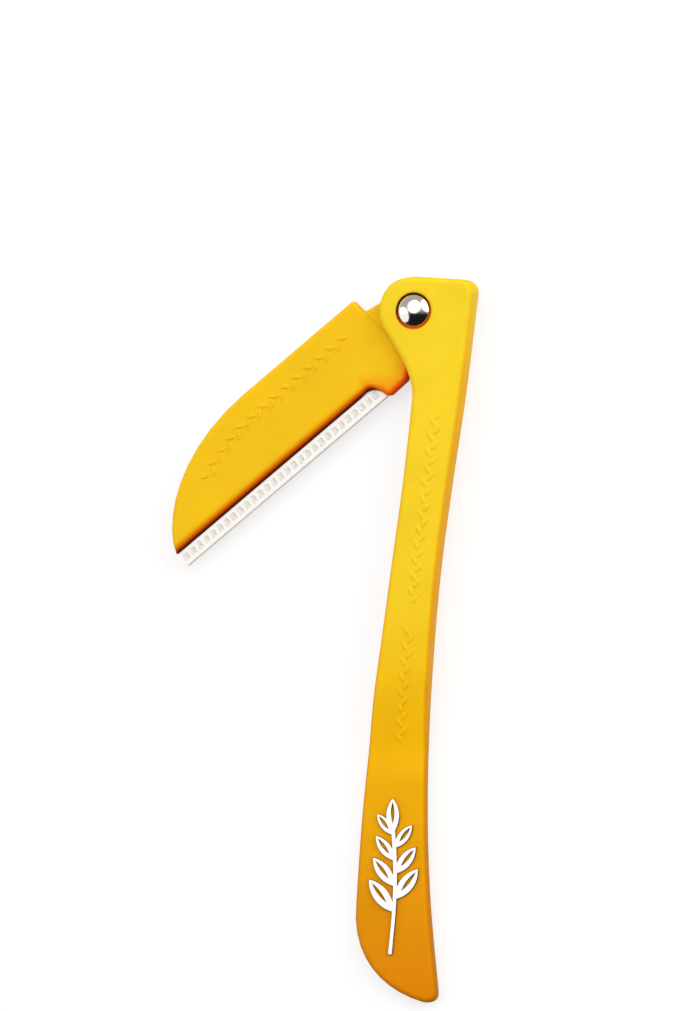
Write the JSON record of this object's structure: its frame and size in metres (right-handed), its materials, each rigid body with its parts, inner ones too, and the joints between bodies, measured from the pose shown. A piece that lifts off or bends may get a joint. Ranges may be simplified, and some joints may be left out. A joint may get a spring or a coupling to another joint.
{
  "type": "folding eyebrow razor",
  "caption": "Folding eyebrow razor: a slim plastic handle whose blade holder turns on a rivet and folds into a channel; comb guard over the blade.",
  "frame": {"origin": "on the pivot axis, in the plane of the handle's flat back", "axes": "+Z out of the front face along the pivot axis, handle along -Y from the pivot to its tail, +X towards the handle's back edge"},
  "size_m": [0.052, 0.1202, 0.0067],
  "materials": {
    "handle_plastic": "satin-gloss moulded plastic, warm yellow",
    "holder_plastic": "satin-gloss moulded plastic, slightly deeper yellow",
    "blade_steel": "ground stainless steel",
    "guard_foil": "bright punched stainless foil",
    "rivet_nickel": "polished nickel",
    "cap_nickel": "polished nickel, turned face",
    "ornament_chrome": "bright chrome"
  },
  "bodies": {
    "handle_body": {"handle": "handle_plastic", "rivet": "rivet_nickel", "rivet_cap": "cap_nickel", "ornament": "ornament_chrome"},
    "head_body": {"blade_holder": "holder_plastic", "blade": "blade_steel", "guard": "guard_foil"}
  },
  "joints": [
    {"name": "fold", "type": "hinge", "parent": "handle_body", "child": "head_body", "pos_m": [0, 0, 0], "axis": [0, 0, -1], "range_deg": [-42, 138]}
  ]
}
